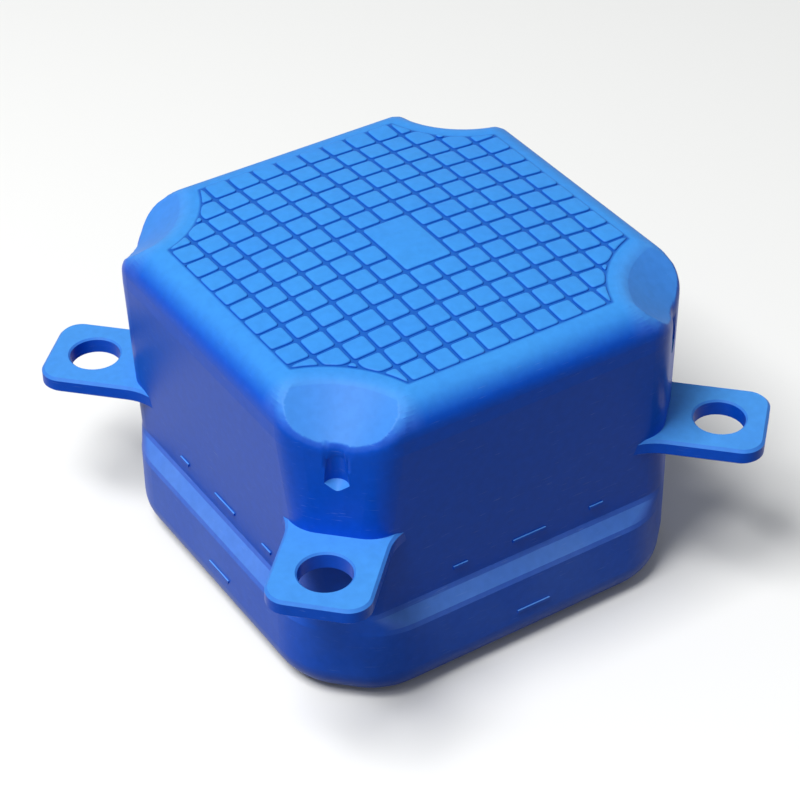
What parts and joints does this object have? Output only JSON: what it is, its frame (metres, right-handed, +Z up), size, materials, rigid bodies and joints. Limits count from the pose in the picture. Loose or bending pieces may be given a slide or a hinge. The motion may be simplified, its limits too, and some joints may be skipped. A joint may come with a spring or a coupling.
{
  "type": "plastic pontoon float",
  "caption": "Hollow blow-moulded dock float with a crowned, padded deck, pin seats at its corners and coupling lugs at stepped levels.",
  "frame": {"origin": "middle of the underside, at the lowest point of the float", "axes": "+Z up through the deck; X and Y along the square plan's sides, so the four lugs lie on the diagonals"},
  "size_m": [0.6304, 0.6304, 0.4003],
  "materials": {
    "blue_polyethylene": "satin blow-moulded high-density polyethylene, bright blue"
  },
  "bodies": {
    "root": {"float_shell": "blue_polyethylene"}
  },
  "joints": []
}
